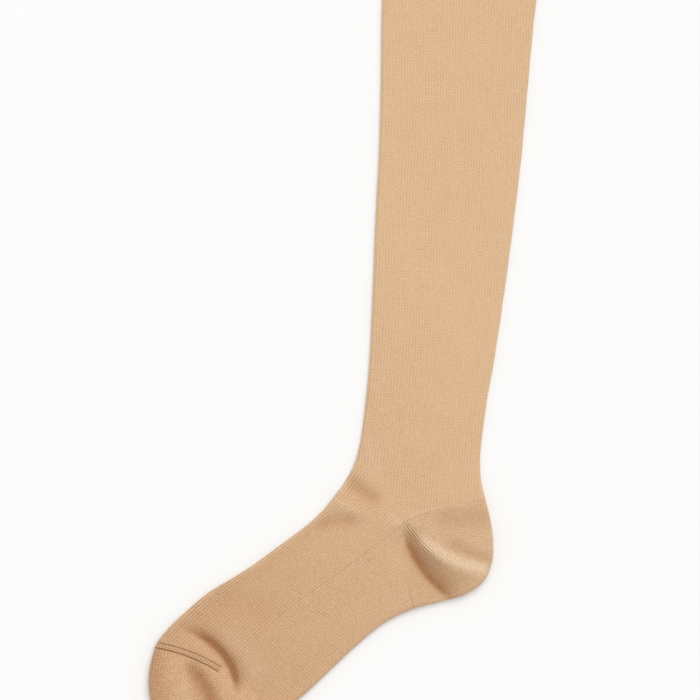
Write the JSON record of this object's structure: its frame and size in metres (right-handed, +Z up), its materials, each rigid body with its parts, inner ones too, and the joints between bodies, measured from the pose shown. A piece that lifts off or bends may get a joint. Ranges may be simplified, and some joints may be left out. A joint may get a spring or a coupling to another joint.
{
  "type": "below-knee compression stocking",
  "caption": "Closed-toe below-knee compression stocking laid flat on its side, with ribbed leg and instep, plain heel pocket, sole, toe cap and top band.",
  "frame": {"origin": "bottom centre of the bounding box, on the surface that the stocking lies on", "axes": "+Y up the leg towards the top band, +X towards the calf and the back of the heel, +Z up from the surface; the toe points to -X and -Y"},
  "size_m": [0.2138, 0.498, 0.0094],
  "materials": {
    "band_knit": "plain double knit, matt, light tan",
    "rib_knit": "fine vertical rib knit, matt with a soft sheen, light tan",
    "heel_knit": "plain reinforced knit, matt, tan",
    "sole_knit": "plain knit with fine lengthwise wales, matt, tan",
    "toe_knit": "plain reinforced knit, matt, tan, a little darker than the leg"
  },
  "bodies": {
    "root": {"top_band": "band_knit", "leg": "rib_knit", "heel": "heel_knit", "sole": "sole_knit", "toe": "toe_knit"}
  },
  "joints": []
}
